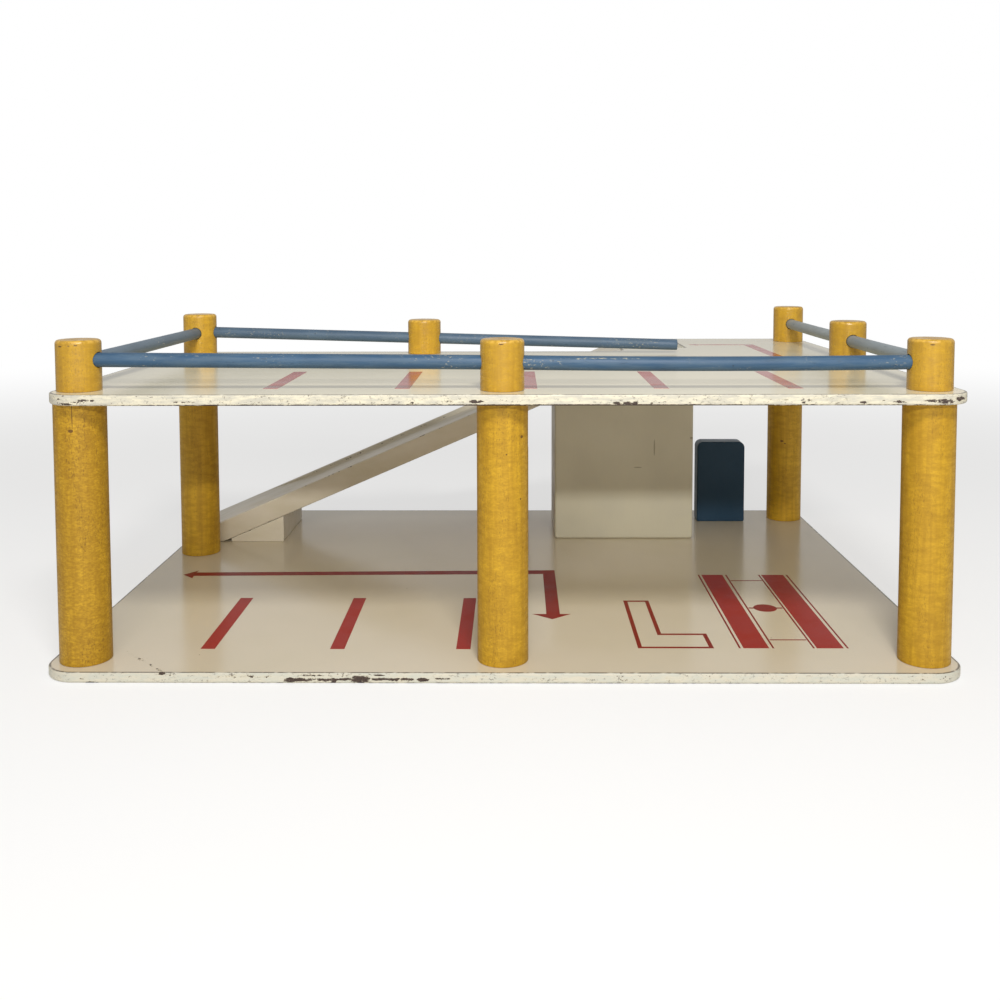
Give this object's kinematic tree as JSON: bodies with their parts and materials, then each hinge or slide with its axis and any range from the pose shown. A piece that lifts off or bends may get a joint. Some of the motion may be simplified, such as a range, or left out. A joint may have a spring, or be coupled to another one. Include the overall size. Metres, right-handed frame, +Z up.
{
  "type": "toy parking garage with lift",
  "caption": "Painted wooden toy garage: a parking deck on round posts with dowel rails, a ramp up the back and a hand-moved lift in a shaft.",
  "frame": {"origin": "middle of the base board's underside", "axes": "+X to the right as seen from the front, +Y to the back where the ramp and the lift stand, +Z up"},
  "size_m": [0.5, 0.376, 0.1854],
  "materials": {
    "board_paint": "worn gloss cream white paint on wood board",
    "post_wood": "yellow-brown stained and varnished wood",
    "cap_paint": "yellow paint on turned wood",
    "bare_dowel": "bare hardwood dowel",
    "rail_paint": "worn blue gloss paint on dowel",
    "ramp_paint": "worn cream white paint on wood",
    "shaft_paint": "cream white paint on thin board",
    "guide_wood": "bare planed wood strip",
    "platform_paint": "cream white paint on wood block",
    "knob_paint": "red gloss paint on turned wood",
    "pump_red_paint": "red gloss paint on wood block",
    "pump_blue_paint": "blue gloss paint on wood block"
  },
  "bodies": {
    "garage": {"base_board": "board_paint", "cap_front_left": "cap_paint", "cap_front_middle": "cap_paint", "cap_front_right": "cap_paint", "cap_rear_left": "cap_paint", "cap_rear_middle": "cap_paint", "cap_rear_right": "cap_paint", "cap_right_middle": "cap_paint", "deck_board": "board_paint", "guide_left": "guide_wood", "guide_right": "guide_wood", "pin_front_left": "bare_dowel", "pin_front_middle": "bare_dowel", "pin_front_right": "bare_dowel", "pin_rear_left": "bare_dowel", "pin_rear_middle": "bare_dowel", "pin_rear_right": "bare_dowel", "pin_right_middle": "bare_dowel", "post_front_left": "post_wood", "post_front_middle": "post_wood", "post_front_right": "post_wood", "post_rear_left": "post_wood", "post_rear_right": "post_wood", "pump_blue": "pump_blue_paint", "pump_red": "pump_red_paint", "rail_front_left": "rail_paint", "rail_front_right": "rail_paint", "rail_left": "rail_paint", "rail_rear": "rail_paint", "rail_right_front": "rail_paint", "rail_right_rear": "rail_paint", "ramp": "ramp_paint", "ramp_wedge": "ramp_paint", "shaft_front_wall": "shaft_paint", "shaft_left_wall": "shaft_paint", "shaft_partition": "shaft_paint", "shaft_right_wall_front": "shaft_paint", "shaft_right_wall_rear": "shaft_paint"},
    "lift": {"lift_platform": "platform_paint", "lift_peg": "bare_dowel", "lift_knob": "knob_paint"}
  },
  "joints": [
    {"name": "lift_slide", "type": "slide", "parent": "garage", "child": "lift", "axis": [0, 0, 1], "range_m": [-0.1317, 0]}
  ]
}
